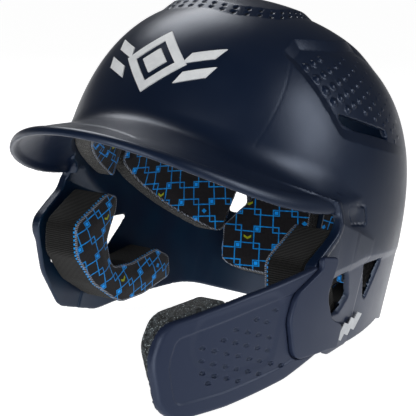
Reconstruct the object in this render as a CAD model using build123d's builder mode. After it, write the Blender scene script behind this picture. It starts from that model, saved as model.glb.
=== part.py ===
from build123d import *
from math import cos, hypot, pi, sin, sqrt
import os

# Baseball batting helmet with a jaw guard on the wearer's left.
# The helmet is drawn level, as it sits on a head: -Y is the brim, +X the wearer's left, +Z up, and z = 0 the
# dome's widest level. Each finished piece is then moved into the resting pose, in which the helmet
# leans back on its jaw guard and the edge of its nape.

os.makedirs("parts", exist_ok=True)

# Dome
half_width = 103.0
half_length = 127.0
dome_y = 10.0
crown_height = 134.0
crown_power = 2.6
wall = 4.0
skirt_depth = 95.0
skirt_taper = 0.985

# Cheek flats, where the ear flaps stand wider than the dome
cheek_radius = 228.5
cheek_reach = 104.3
cheek_y = -18.0
cheek_x = cheek_reach - cheek_radius
cheek_front = -75.0
cheek_back = 12.0
cheek_brow_y = -35.0
cheek_front_slope = 0.5
cheek_top = 16.0
cheek_slope_height = 14.0
cheek_slope_width = 7.0

# Relief of the dome
crown_rise = 3.2
side_panel_depth = 1.6

# Brim
brim_half_width = 101.0
brim_reach = 145.0
brim_y = -26.0
brim_thickness = 4.0
brim_arch_radius = 131.7
brim_root_y = -119.0
brim_root_z = 28.2
brim_droop = 0.38

# Jaw guard
guard_gap = 0.5
guard_radius = cheek_radius + guard_gap
tongue_thickness = 2.4
blade_thickness = 4.0
blade_rim = 8.0
blade_recess = 0.8
guard_foam_thickness = 14.0
cover_gap = 0.3
cover_thickness = 3.5
cover_radius = guard_radius + tongue_thickness + cover_gap

# Screws and tee nuts
screw_places = [(-43.0, -36.0), (-25.0, -58.0)]
shell_hole_radius = 3.6
screw_radius = 2.0
screw_hole_radius = 2.4
screw_length = 7.5
head_radius = 4.0
head_hole_radius = 4.3
head_height = 1.2
nut_barrel_radius = 3.4
nut_bore_radius = 2.3
nut_flange_radius = 5.5
nut_flange_thickness = 1.2
nut_seat_gap = 0.1
nut_barrel_length = 3.4

# Pads
pad_back = wall + 0.3
pad_thickness = 11.0
facing_thickness = 1.4
ear_pad_back = wall + 3.0
ear_pad_inside = 70.0
ear_band_thickness = 1.2

# Markings
emblem_thickness = 0.8
emblem_size = 21.0
emblem_z = 68.0
decal_thickness = 0.5
decal_y = -8.0
decal_z = -62.5
decal_pitch = 8.0
decal_rise = 4.6

# Resting pose
rest_tilt = 20.4

far = 160.0


def superellipse(radius, height, count=14):
    """Points of the dome's profile, from its widest level to its crown."""
    steps = [pi / 2 * i / count for i in range(count + 1)]
    return [(radius * cos(t) ** (2 / crown_power), height * sin(t) ** (2 / crown_power)) for t in steps]


def dome(inset):
    """The solid dome and its skirt, inside the outer surface by the inset."""
    radius = half_width - inset
    height = crown_height - inset
    with BuildPart() as solid:
        with BuildSketch(Plane.XZ):
            with BuildLine():
                Spline(superellipse(radius, height), tangents=((0, 1), (-1, 0)))
                Polyline(
                    (0, height),
                    (0, -skirt_depth),
                    (radius * skirt_taper, -skirt_depth),
                    (radius, 0),
                )
            make_face()
        revolve(axis=Axis.Z)
        scale(by=(1, (half_length - inset) / radius, 1))
    return solid.part.moved(Location((0, dome_y, 0)))


def arc_x(radius, y):
    """Half width of a cheek arc of this radius at a place along the helmet."""
    return cheek_x + sqrt(radius**2 - (y - cheek_y) ** 2)


def cheeks(inset):
    """The block between the two cheek flats, with sloped shoulders and a slanted front."""
    radius = cheek_radius - inset
    middle = (cheek_front + cheek_back) / 2
    top = cheek_top - 1.2 * inset
    foot_y = cheek_brow_y - cheek_front_slope * (cheek_top + skirt_depth)
    with BuildPart() as solid:
        with BuildSketch(Plane.XY.offset(-skirt_depth)):
            with BuildLine():
                left = [(arc_x(radius, y), y) for y in (cheek_front, middle, cheek_back)]
                right = [(-x, y) for x, y in reversed(left)]
                ThreePointArc(*left)
                Line(left[2], right[0])
                ThreePointArc(*right)
                Line(right[2], left[0])
            make_face()
        extrude(amount=top + skirt_depth)
        shoulders = solid.edges().group_by(Axis.Z)[-1].filter_by(GeomType.CIRCLE)
        chamfer(shoulders, length=cheek_slope_height, length2=cheek_slope_width)
        with BuildSketch(Plane.YZ):
            with BuildLine():
                Polyline(
                    (foot_y, -skirt_depth),
                    (cheek_back, -skirt_depth),
                    (cheek_back, cheek_top),
                    (cheek_brow_y, cheek_top),
                    close=True,
                )
            make_face()
        extrude(amount=far, both=True, mode=Mode.INTERSECT)
    return solid.part


def shell_surface(inset):
    """Everything inside the shell's surface, moved in by the inset."""
    with BuildPart() as solid:
        add(dome(inset))
        add(cheeks(inset))
    return solid.part


outer_form = shell_surface(0)
inner_form = shell_surface(wall)

# Side view of the shell: back of the face opening, ear flap and nape. The left flap is trimmed shorter.
face_corners = [
    (150, 150, 0),
    (-150, 150, 0),
    (-150, 13, 0),
    (-36, 13, 9),
    (-36, -4, 16),
    (-56, -31, 10),
    (-34, -60, 30),
]
left_corners = face_corners + [
    (-15, -75, 10),
    (44, -41, 20),
    (100, -35.4, 0),
    (150, -33.5, 0),
]
right_corners = face_corners + [
    (-9, -78, 14),
    (27, -74.8, 28),
    (92, -35.7, 40),
    (150, -33.5, 0),
]
ear_window = [(-34, -33), (-12, -22.5), (-5, -35), (-13, -46), (-30, -52)]
ear_vent = [(9.5, -14), (33, -4.5), (21, -31), (18, -31)]
side_slot = [(-37, 65.5), (14, 70), (17.5, 65.5), (-22, 60), (-32, 61)]
nape_vent = [(53, 21), (63, 20), (65, 36), (56, 37)]


def rounded_outline(corners):
    """A closed face of straight runs, each corner rounded by its own radius."""
    with BuildSketch(mode=Mode.PRIVATE) as outline:
        with BuildLine():
            Polyline(*[(y, z) for y, z, _ in corners], close=True)
        make_face()
        for y, z, radius in corners:
            if radius > 0:
                corner = outline.vertices().sort_by_distance((y, z))[0]
                fillet(corner, radius)
    return outline.sketch


def plate(points, corner_radius):
    """A closed face of straight runs with one radius at all its corners."""
    return rounded_outline([(a, b, corner_radius) for a, b in points])


# Raised panel of the crown, seen from above, and sunk panel of each side, seen from the side.
crown_corners = [
    (0, -78, 0),
    (24, -77, 20),
    (44, -56, 20),
    (42, -25, 25),
    (30, 10, 30),
    (26, 80, 10),
    (-26, 80, 10),
    (-30, 10, 30),
    (-42, -25, 25),
    (-44, -56, 20),
    (-24, -77, 20),
]
side_panel_corners = [
    (-62, 88, 5),
    (-54, 98, 6),
    (10, 116, 0),
    (40, 112, 10),
    (40, 66, 10),
    (-10, 58, 20),
    (-34, 56, 8),
]


def panel_layer(plane, corners, outer_inset, inner_inset, both):
    """The part of the dome's wall between two insets, within an outline."""
    with BuildPart() as layer:
        with BuildSketch(plane):
            add(rounded_outline(corners))
        extrude(amount=far, both=both)
        add(dome(outer_inset), mode=Mode.INTERSECT)
        add(dome(inner_inset), mode=Mode.SUBTRACT)
    return layer.part


crown_panel = panel_layer(Plane.XY, crown_corners, -crown_rise, wall / 2, False)
side_panels = panel_layer(Plane.YZ, side_panel_corners, -1, side_panel_depth, True)

with BuildPart() as side_form_part:
    for corners, reach in ((left_corners, far), (right_corners, -far)):
        with BuildSketch(Plane.YZ):
            add(rounded_outline(corners))
        extrude(amount=reach)
side_form = side_form_part.part

# A wedge of space under the arched brim.
with BuildPart() as under_brim:
    middle_radius = brim_arch_radius - brim_thickness / 2
    start_y = -50.0
    arch_z = brim_root_z - brim_arch_radius + brim_droop * (start_y - brim_root_y)
    edge_x = half_width
    edge_z = arch_z + sqrt(middle_radius**2 - edge_x**2)
    with BuildSketch(Plane.XZ.offset(-start_y)):
        with BuildLine():
            ThreePointArc((-edge_x, edge_z), (0, arch_z + middle_radius), (edge_x, edge_z))
            Polyline((edge_x, edge_z), (edge_x, -2), (-edge_x, -2), (-edge_x, edge_z))
        make_face()
    extrude(amount=far, dir=Vector(0, -1, -brim_droop))

with BuildPart() as brim:
    start_y = dome_y
    arch_z = brim_root_z - brim_arch_radius + brim_droop * (start_y - brim_root_y)
    edge_x = half_width + 2
    under_radius = brim_arch_radius - brim_thickness
    top_z = arch_z + sqrt(brim_arch_radius**2 - edge_x**2)
    under_z = arch_z + sqrt(under_radius**2 - edge_x**2)
    with BuildSketch(Plane.XZ.offset(-start_y)):
        with BuildLine():
            ThreePointArc((-edge_x, top_z), (0, arch_z + brim_arch_radius), (edge_x, top_z))
            Line((edge_x, top_z), (edge_x, under_z))
            ThreePointArc((edge_x, under_z), (0, arch_z + under_radius), (-edge_x, under_z))
            Line((-edge_x, under_z), (-edge_x, top_z))
        make_face()
    extrude(amount=1.4 * far, dir=Vector(0, -1, -brim_droop))
    with BuildSketch(Plane.XY.offset(-far / 2)):
        with Locations((0, brim_y)):
            Ellipse(brim_half_width, brim_reach)
    extrude(amount=far, mode=Mode.INTERSECT)
    add(inner_form, mode=Mode.SUBTRACT)

with BuildPart() as outer_shell:
    add(outer_form)
    add(inner_form, mode=Mode.SUBTRACT)
    add(side_form, mode=Mode.INTERSECT)
    add(under_brim.part, mode=Mode.SUBTRACT)
    add(brim.part)
    add(crown_panel)
    add(side_panels, mode=Mode.SUBTRACT)
    with BuildSketch(Plane.YZ):
        add(plate(ear_window, 2))
        add(plate(ear_vent, 1))
        add(plate(side_slot, 1.5))
    extrude(amount=far, both=True, mode=Mode.SUBTRACT)
    with BuildSketch(Plane.XZ.offset(-60)):
        add(plate(nape_vent, 2))
        mirror(about=Plane.YZ)
    extrude(amount=-far, mode=Mode.SUBTRACT)
    with BuildSketch(Plane.YZ):
        with Locations(*screw_places):
            Circle(shell_hole_radius)
    extrude(amount=far, mode=Mode.SUBTRACT)

# Side views of the guard, its cover and its padding.
guard_corners = [
    (-36, -25, 4),
    (-51, -27, 20),
    (-98, -55.5, 30),
    (-140.8, -84, 16),
    (-142.6, -104, 30),
    (-130, -134.5, 12),
    (-96, -117, 60),
    (-58, -94, 50),
    (-28, -70.5, 3),
    (-19.5, -66, 2),
    (-19.5, -56, 2),
    (-32, -53, 8),
    (-39, -42, 6),
]
cover_corners = [
    (-36, -18, 3),
    (-53, -22, 3),
    (-50, -28, 4),
    (-67, -47, 14),
    (-68, -62, 16),
    (-57, -83, 8),
    (-28, -71.5, 4),
    (-17, -68, 3),
    (-17, -54, 3),
    (-30, -53.5, 10),
    (-40, -42, 12),
]
guard_foam_corners = [
    (-106, -58, 4),
    (-134, -78, 14),
    (-136, -96, 20),
    (-124, -121, 10),
    (-106, -113, 4),
]


def curved_plate(inner_radius, outer_radius, outline):
    """A piece of wall around the left cheek's axis, cut to a side view."""
    with BuildPart() as plate_part:
        with BuildSketch(Plane.XY.offset(-far)):
            with Locations((cheek_x, cheek_y)):
                Circle(outer_radius)
                Circle(inner_radius, mode=Mode.SUBTRACT)
        extrude(amount=2 * far)
        with BuildSketch(Plane.YZ):
            add(outline)
        extrude(amount=far, mode=Mode.INTERSECT)
    return plate_part.part


def pin(y, z, radius, start_x, end_x):
    """A round bar along X."""
    with BuildPart() as bar:
        with BuildSketch(Plane.YZ.offset(start_x)):
            with Locations((y, z)):
                Circle(radius)
        extrude(amount=end_x - start_x)
    return bar.part


def head_seat(y):
    """Where the underside of a screw's head sits, so that all of it is sunk in the tongue."""
    outside = arc_x(guard_radius + tongue_thickness, y)
    return outside - head_height - head_radius * abs(y - cheek_y) / guard_radius


def flange_seat(y):
    """Where a tee nut's flange meets the inner face of the flap."""
    inside = arc_x(cheek_radius - wall, y)
    return inside - nut_flange_radius * abs(y - cheek_y) / (cheek_radius - wall) - nut_seat_gap


guard_outline = rounded_outline(guard_corners)
cover_outline = rounded_outline(cover_corners)
blade_outer = guard_radius + blade_thickness
with BuildSketch(mode=Mode.PRIVATE) as cover_room:
    add(cover_outline)
    offset(amount=0.4)
with BuildSketch(mode=Mode.PRIVATE) as blade_panel:
    add(guard_outline)
    offset(amount=-blade_rim, mode=Mode.REPLACE)
    add(cover_room.sketch, mode=Mode.SUBTRACT)

with BuildPart() as jaw_guard:
    add(curved_plate(guard_radius, blade_outer, guard_outline))
    add(curved_plate(guard_radius + tongue_thickness, blade_outer + 1, cover_room.sketch), mode=Mode.SUBTRACT)
    add(curved_plate(blade_outer - blade_recess, blade_outer + 1, blade_panel.sketch), mode=Mode.SUBTRACT)
    for y, z in screw_places:
        add(pin(y, z, screw_hole_radius, 90, 112), mode=Mode.SUBTRACT)
        add(pin(y, z, head_hole_radius, head_seat(y), 112), mode=Mode.SUBTRACT)

guard_foam_inner = guard_radius - guard_foam_thickness
guard_foam = curved_plate(guard_foam_inner, guard_radius, rounded_outline(guard_foam_corners))
guard_cover = curved_plate(cover_radius, cover_radius + cover_thickness, cover_outline)

with BuildPart() as guard_screws:
    for y, z in screw_places:
        seat = head_seat(y)
        add(pin(y, z, head_radius, seat, seat + head_height))
        add(pin(y, z, screw_radius, seat - screw_length, seat))

with BuildPart() as guard_tee_nuts:
    for y, z in screw_places:
        seat = flange_seat(y)
        add(pin(y, z, nut_flange_radius, seat - nut_flange_thickness, seat))
        add(pin(y, z, nut_barrel_radius, seat, seat + nut_barrel_length))
        add(pin(y, z, nut_bore_radius, seat - far / 4, seat + far / 4), mode=Mode.SUBTRACT)

# Ear pads: a horseshoe of foam, a facing towards the ear and a band round its edge. The left one is shorter.
ear_front_corners = [
    (56, -25, 4),
    (40, -23.5, 6),
    (18, -38, 10),
    (-4, -46, 9),
    (-17, -30, 12),
    (-15, -10, 12),
    (-17, -1, 4),
    (-28, -2, 5),
    (-52, -29, 8),
    (-43, -47, 12),
]
left_ear_corners = ear_front_corners + [
    (-17, -59, 16),
    (10, -56, 16),
    (42, -40, 20),
    (61, -34, 4),
]
right_ear_corners = ear_front_corners + [
    (-18, -60, 20),
    (14, -66, 24),
    (38, -55, 30),
    (63, -37, 4),
]
ear_room = shell_surface(ear_pad_back)
ear_core_start = ear_pad_inside + facing_thickness


def ear_layer(outline, start_x, end_x):
    """A layer of an ear pad on the left, kept off the shell."""
    with BuildPart() as layer:
        with BuildSketch(Plane.YZ.offset(start_x)):
            add(outline)
        extrude(amount=end_x - start_x)
        add(ear_room, mode=Mode.INTERSECT)
    return layer.part


def ear_pad(corners):
    """Foam, band and facing of an ear pad, drawn on the left."""
    outline = rounded_outline(corners)
    with BuildSketch(mode=Mode.PRIVATE) as core:
        add(outline)
        offset(amount=-ear_band_thickness, mode=Mode.REPLACE)
    with BuildSketch(mode=Mode.PRIVATE) as edge:
        add(outline)
        add(core.sketch, mode=Mode.SUBTRACT)
    return {
        "ear_foam": ear_layer(core.sketch, ear_core_start, far),
        "ear_band": ear_layer(edge.sketch, ear_core_start, far),
        "ear_face": ear_layer(outline, ear_pad_inside, ear_core_start),
    }


# Pads of the crown: foam against the dome, each with a fabric facing.
foam_room = dome(pad_back)
facing_room = dome(pad_back + pad_thickness)
head_room = dome(pad_back + pad_thickness + facing_thickness)

front_pad_corners = [
    (-6, 13, 3),
    (-40, 18, 0),
    (-72, 23, 0),
    (-130, 34, 0),
    (-130, 62, 0),
    (-6, 60, 3),
]
side_pad_corners = [
    (0, 52, 4),
    (0, 25, 6),
    (24, 17, 0),
    (55, 9, 0),
    (86, 4, 5),
    (88, 58, 5),
    (10, 56, 4),
]
rear_pad_corners = [
    (5, 46, 4),
    (5, 0, 8),
    (14, -19, 8),
    (54, -19, 8),
    (57, 8, 6),
    (46, 30, 6),
    (44, 46, 3),
]
crown_pad_radius = 42.0


def pad_layer(plane, outline, outside, inside, amount=far, both=False):
    """The part of the layer between two domes that lies within a side, front or top view."""
    with BuildPart() as layer:
        with BuildSketch(plane):
            add(outline)
        extrude(amount=amount, both=both)
        add(outside, mode=Mode.INTERSECT)
        add(inside, mode=Mode.SUBTRACT)
    return layer.part


with BuildSketch(mode=Mode.PRIVATE) as crown_outline:
    with Locations((0, dome_y)):
        Ellipse(crown_pad_radius, crown_pad_radius * 1.2)

pads = {
    "front_pad": (Plane.YZ, rounded_outline(front_pad_corners), far, True),
    "crown_pad": (Plane.XY, crown_outline.sketch, far, False),
    "side_pad": (Plane.YZ, rounded_outline(side_pad_corners), far, False),
    "rear_pad": (Plane.XZ, rounded_outline(rear_pad_corners), -far, False),
}

pieces = {
    "outer_shell": outer_shell.part,
    "jaw_guard": jaw_guard.part,
    "guard_foam": guard_foam,
    "guard_cover": guard_cover,
    "guard_screws": guard_screws.part,
    "guard_tee_nuts": guard_tee_nuts.part,
}
for name, layer in ear_pad(left_ear_corners).items():
    pieces[f"left_{name}"] = layer
for name, layer in ear_pad(right_ear_corners).items():
    pieces[f"right_{name}"] = mirror(layer, Plane.YZ)
for name, (plane, outline, amount, both) in pads.items():
    foam = pad_layer(plane, outline, foam_room, facing_room, amount, both)
    face = pad_layer(plane, outline, facing_room, head_room, amount, both)
    if name in ("front_pad", "crown_pad"):
        pieces[f"{name}_foam"] = foam
        pieces[f"{name}_face"] = face
    else:
        for kind, layer in (("foam", foam), ("face", face)):
            pieces[f"left_{name}_{kind}"] = layer
            pieces[f"right_{name}_{kind}"] = mirror(layer, Plane.YZ)

# Raised emblem on the front: a diamond inside a diamond, with two swept bars on each side.
bar = [(18, 0), (34, 7), (37, 15), (21, 8)]
with BuildSketch(mode=Mode.PRIVATE) as emblem_outline:
    with Locations((0, emblem_z)):
        RegularPolygon(emblem_size, 4, rotation=0)
        RegularPolygon(emblem_size * 0.66, 4, rotation=0, mode=Mode.SUBTRACT)
        RegularPolygon(emblem_size * 0.4, 4, rotation=0)
    for side in (1, -1):
        for drop in (0, -13):
            with BuildLine():
                Polyline(*[(side * x, emblem_z + z + drop) for x, z in bar], close=True)
            make_face()
emblem_room = dome(-emblem_thickness)
dome_form = dome(0)
pieces["front_emblem"] = pad_layer(Plane.XZ, emblem_outline.sketch, emblem_room, dome_form)

# Decal on the left ear flap: three slanted bars along its lower edge.
with BuildSketch(mode=Mode.PRIVATE) as decal_outline:
    for step in range(3):
        start_y = decal_y + decal_pitch * step
        start_z = decal_z + decal_rise * step
        with BuildLine():
            Polyline(
                (start_y, start_z),
                (start_y + 6, start_z),
                (start_y + 12, start_z + 11),
                (start_y + 6, start_z + 11),
                close=True,
            )
        make_face()
decal_room = shell_surface(-decal_thickness)
pieces["side_decal"] = pad_layer(Plane.YZ, decal_outline.sketch, decal_room, outer_form)

# Rest the helmet on its guard and nape, over the middle of its footprint.
tilt = Location((0, 0, 0), (-rest_tilt, 0, 0))
boxes = [piece.moved(tilt).bounding_box() for piece in pieces.values()]
middle_x = (min(box.min.X for box in boxes) + max(box.max.X for box in boxes)) / 2
middle_y = (min(box.min.Y for box in boxes) + max(box.max.Y for box in boxes)) / 2
lowest_z = min(box.min.Z for box in boxes)
resting = Location((-middle_x, -middle_y, -lowest_z), (-rest_tilt, 0, 0))
print("resting shift", -middle_x, -middle_y, -lowest_z)

for name, piece in pieces.items():
    placed = piece.moved(resting)
    placed.label = name
    print(name, [round(value, 1) for value in (*placed.bounding_box().min, *placed.bounding_box().max)])
    export_step(placed, f"parts/{name}.step")
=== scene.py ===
from math import cos, pi, radians, sin, sqrt

import bpy
import numpy as np
from mathutils import Matrix, Vector


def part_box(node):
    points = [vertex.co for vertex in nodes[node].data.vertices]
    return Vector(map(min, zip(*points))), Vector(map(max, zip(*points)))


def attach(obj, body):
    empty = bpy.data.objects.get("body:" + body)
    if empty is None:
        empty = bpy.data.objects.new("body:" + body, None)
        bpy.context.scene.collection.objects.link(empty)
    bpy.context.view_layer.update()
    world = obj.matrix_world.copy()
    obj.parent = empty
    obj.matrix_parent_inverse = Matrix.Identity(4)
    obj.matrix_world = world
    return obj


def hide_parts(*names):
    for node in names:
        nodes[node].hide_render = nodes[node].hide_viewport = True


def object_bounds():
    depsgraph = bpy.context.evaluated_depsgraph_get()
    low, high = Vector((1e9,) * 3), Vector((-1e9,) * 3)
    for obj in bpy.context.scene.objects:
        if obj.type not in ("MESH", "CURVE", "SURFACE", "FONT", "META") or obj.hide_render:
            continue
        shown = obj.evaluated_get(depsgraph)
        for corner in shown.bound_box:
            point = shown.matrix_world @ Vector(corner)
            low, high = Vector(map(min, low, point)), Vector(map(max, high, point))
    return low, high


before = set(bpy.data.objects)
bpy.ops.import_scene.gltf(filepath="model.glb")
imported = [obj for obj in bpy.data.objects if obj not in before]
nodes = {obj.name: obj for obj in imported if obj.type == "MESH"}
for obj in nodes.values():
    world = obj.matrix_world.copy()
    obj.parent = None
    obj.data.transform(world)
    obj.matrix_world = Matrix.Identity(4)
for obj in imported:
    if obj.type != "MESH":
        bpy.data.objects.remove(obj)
cad_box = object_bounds()

# ---------------------------------------------------------------- the helmet's own frame
# Shapes are worked out in millimetres in the helmet's level frame: -Y is the brim, +X the wearer's
# left, z = 0 the widest level of the dome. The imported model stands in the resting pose.
MM = 0.001
REST_TILT = radians(20.4)
EAR_PAD_INSIDE = 70.0
SCREWS = [(-43.0, -36.0), (-25.0, -58.0)]


def tilted(y, z):
    """A level place's y and z, pitched back into the resting pose."""
    return y * cos(REST_TILT) + z * sin(REST_TILT), -y * sin(REST_TILT) + z * cos(REST_TILT)


def resting_shift():
    """Where the level frame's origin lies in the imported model, in millimetres."""
    nut_low, nut_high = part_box("guard_tee_nuts")
    pad_low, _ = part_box("left_ear_face")
    nuts = [tilted(y, z) for y, z in SCREWS]
    shift_y = (nut_low.y + nut_high.y) / 2 / MM - (nuts[0][0] + nuts[1][0]) / 2
    shift_z = (nut_low.z + nut_high.z) / 2 / MM - (nuts[0][1] + nuts[1][1]) / 2
    return pad_low.x / MM - EAR_PAD_INSIDE, shift_y, shift_z


SHIFT = resting_shift()


def to_row(points):
    """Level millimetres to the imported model's metres."""
    points = np.asarray(points, float)
    y, z = tilted(points[..., 1], points[..., 2])
    return np.stack([points[..., 0] + SHIFT[0], y + SHIFT[1], z + SHIFT[2]], -1) * MM


def to_level(points):
    """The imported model's metres back to level millimetres."""
    x, y, z = (np.asarray(points, float) / MM - np.array(SHIFT)).T
    return np.stack([x, y * cos(REST_TILT) - z * sin(REST_TILT), y * sin(REST_TILT) + z * cos(REST_TILT)], -1)


def turn_to_row(vectors):
    """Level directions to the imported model's directions."""
    vectors = np.asarray(vectors, float)
    y, z = tilted(vectors[..., 1], vectors[..., 2])
    return np.stack([vectors[..., 0], y, z], -1)


# ---------------------------------------------------------------- camera
CAMERA_TURN = radians(33.0)
CAMERA_LIFT = radians(-7.0)
CAMERA_ROLL = radians(13.8)
CAMERA_DISTANCE = 1000.0
CAMERA_LENS = 136.7
AIM_RIGHT = -0.0082
AIM_UP = 0.0048


def make_camera():
    turn, lift, roll = CAMERA_TURN, CAMERA_LIFT, CAMERA_ROLL
    across = np.array([cos(turn), sin(turn), 0])
    rise = np.array([-sin(turn) * sin(lift), cos(turn) * sin(lift), cos(lift)])
    back = np.array([sin(turn) * cos(lift), -cos(turn) * cos(lift), sin(lift)])
    right = across * cos(roll) + rise * sin(roll)
    up = rise * cos(roll) - across * sin(roll)
    ahead = right * AIM_RIGHT + up * AIM_UP - back
    ahead = ahead / np.linalg.norm(ahead)
    right = np.cross(ahead, up)
    right = right / np.linalg.norm(right)
    up = np.cross(right, ahead)
    axes = [Vector(turn_to_row(v)) for v in (right, up, -ahead)]
    data = bpy.data.cameras.new("camera")
    data.lens = CAMERA_LENS
    data.clip_end = 100
    camera = bpy.data.objects.new("camera", data)
    bpy.context.scene.collection.objects.link(camera)
    turned = Matrix(axes).transposed().to_4x4()
    camera.matrix_world = Matrix.Translation(to_row(back * CAMERA_DISTANCE)) @ turned
    bpy.context.scene.camera = camera


make_camera()


# ---------------------------------------------------------------- distance fields
# Every moulded piece is a distance field in level millimetres: negative inside, positive outside.
def soft_max(a, b, blend):
    """The larger of two fields, with their edge rounded off."""
    mix = np.clip(0.5 + (a - b) / (2 * blend), 0, 1)
    return b + (a - b) * mix + blend * mix * (1 - mix)


def soft_min(a, b, blend):
    """The smaller of two fields, with a fillet where they meet."""
    return -soft_max(-a, -b, blend)


def smooth_step(value, low, high):
    t = np.clip((value - low) / (high - low), 0, 1)
    return t * t * (3 - 2 * t)


def rounded(corners, steps=5):
    """A closed outline from (a, b, radius) corners, with an arc at each corner."""
    points = []
    count = len(corners)
    for i, (a, b, radius) in enumerate(corners):
        here = np.array([a, b], float)
        before = np.array(corners[i - 1][:2], float) - here
        after = np.array(corners[(i + 1) % count][:2], float) - here
        before /= np.linalg.norm(before)
        after /= np.linalg.norm(after)
        if radius <= 0:
            points.append(here)
            continue
        half = np.arccos(np.clip(before @ after, -1, 1)) / 2
        middle = before + after
        centre = here + middle / np.linalg.norm(middle) * radius / sin(half)
        start = here + before * radius / np.tan(half) - centre
        end = here + after * radius / np.tan(half) - centre
        sweep = np.arctan2(start[0] * end[1] - start[1] * end[0], start @ end)
        for t in np.linspace(0, sweep, steps):
            turned = [start[0] * cos(t) - start[1] * sin(t), start[0] * sin(t) + start[1] * cos(t)]
            points.append(centre + turned)
    return np.array(points)


def outline_field(points, a, b):
    """Signed distance in a plane to a closed outline."""
    a, b = np.broadcast_arrays(a, b)
    nearest = np.full(a.shape, np.inf, a.dtype)
    inside = np.zeros(a.shape, bool)
    for i in range(len(points)):
        (a0, b0), (a1, b1) = points[i - 1], points[i]
        da, db = a1 - a0, b1 - b0
        t = np.clip(((a - a0) * da + (b - b0) * db) / (da * da + db * db), 0, 1)
        nearest = np.minimum(nearest, (a - a0 - t * da) ** 2 + (b - b0 - t * db) ** 2)
        if db != 0:
            crosses = ((b0 > b) != (b1 > b)) & (a < da * (b - b0) / db + a0)
            inside ^= crosses
    return np.where(inside, -1, 1) * np.sqrt(nearest)


def mesh_field(field, low, high, cell):
    """Vertices and faces of a field's zero surface, by surface nets."""
    axes = [np.arange(low[k] - 2 * cell, high[k] + 2 * cell, cell) for k in range(3)]
    across, along, upward = [axis.astype(np.float32) for axis in axes]
    grid = field(across[:, None, None], along[None, :, None], upward[None, None, :])
    grid = np.asarray(grid, np.float32)
    inside = grid < 0
    corners = [(i, j, k) for i in (0, 1) for j in (0, 1) for k in (0, 1)]
    size = [n - 1 for n in grid.shape]

    def corner(array, offset):
        i, j, k = offset
        return array[i : i + size[0], j : j + size[1], k : k + size[2]]

    count = sum(corner(inside, c).astype(np.int8) for c in corners)
    cells = np.argwhere((count > 0) & (count < 8))
    values = np.stack([grid[tuple((cells + c).T)] for c in corners], 1)
    total = np.zeros((len(cells), 3))
    hits = np.zeros(len(cells))
    for m, first in enumerate(corners):
        for n, second in enumerate(corners):
            if n <= m or sum(abs(p - q) for p, q in zip(first, second)) != 1:
                continue
            a, b = values[:, m], values[:, n]
            cut = (a < 0) != (b < 0)
            t = np.where(cut, a / np.where(cut, a - b, 1), 0)
            place = np.array(first) + t[:, None] * (np.array(second) - np.array(first))
            total += place * cut[:, None]
            hits += cut
    origin = np.array([axis[0] for axis in axes])
    points = origin + cell * (cells + total / hits[:, None])
    for _ in range(3):
        value, slope = sample(field, points, cell * 0.25)
        step = value[:, None] * slope / np.maximum((slope**2).sum(1), 0.05)[:, None]
        length = np.linalg.norm(step, axis=1, keepdims=True)
        points -= step * np.minimum(1, cell * 0.5 / np.maximum(length, 1e-9))
    index = np.full(size, -1)
    index[tuple(cells.T)] = np.arange(len(cells))
    faces = []
    for axis in range(3):
        u, v = (axis + 1) % 3, (axis + 2) % 3
        step = np.eye(3, dtype=int)
        start = np.array(inside.shape) - step[axis]
        first = inside[: start[0], : start[1], : start[2]]
        second = inside[step[axis][0] :, step[axis][1] :, step[axis][2] :]
        edges = np.argwhere(first != second)
        keep = (edges[:, u] > 0) & (edges[:, v] > 0) & (edges[:, u] < size[u]) & (edges[:, v] < size[v])
        edges = edges[keep & (edges[:, axis] < size[axis])]
        ring = [edges, edges - step[u], edges - step[u] - step[v], edges - step[v]]
        quads = np.stack([index[tuple(cell_place.T)] for cell_place in ring], 1)
        outward = inside[tuple(edges.T)]
        faces.append(np.where(outward[:, None], quads, quads[:, ::-1]))
    return points, np.concatenate(faces)


def sample(field, points, step):
    """A field's value and slope at points."""
    x, y, z = points.T
    value = field(x, y, z)
    slope = np.stack(
        [
            field(x + step, y, z) - field(x - step, y, z),
            field(x, y + step, z) - field(x, y - step, z),
            field(x, y, z + step) - field(x, y, z - step),
        ],
        1,
    ) / (2 * step)
    return value, slope


# ---------------------------------------------------------------- shell
HALF_WIDTH = 103.0
HALF_LENGTH = 127.0
DOME_Y = 10.0
CROWN = 134.0
CROWN_POWER = 2.6
WALL = 4.0
SKIRT_DEPTH = 95.0
SKIRT_TAPER = 0.985
CHEEK_RADIUS = 228.5
CHEEK_X = 104.3 - CHEEK_RADIUS
CHEEK_Y = -18.0
CHEEK_TOP = 16.0
CHEEK_SLOPE_HEIGHT = 14.0
CHEEK_SLOPE_WIDTH = 7.0
CHEEK_BACK = 12.0
CHEEK_BROW_Y = -35.0
CHEEK_FRONT_SLOPE = 0.5
BRIM_HALF_WIDTH = 101.0
BRIM_REACH = 145.0
BRIM_Y = -26.0
BRIM_THICKNESS = 4.0
BRIM_RADIUS = 131.7
BRIM_ROOT_Y = -119.0
BRIM_ROOT_Z = 28.2
BRIM_DROOP = 0.38

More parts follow.
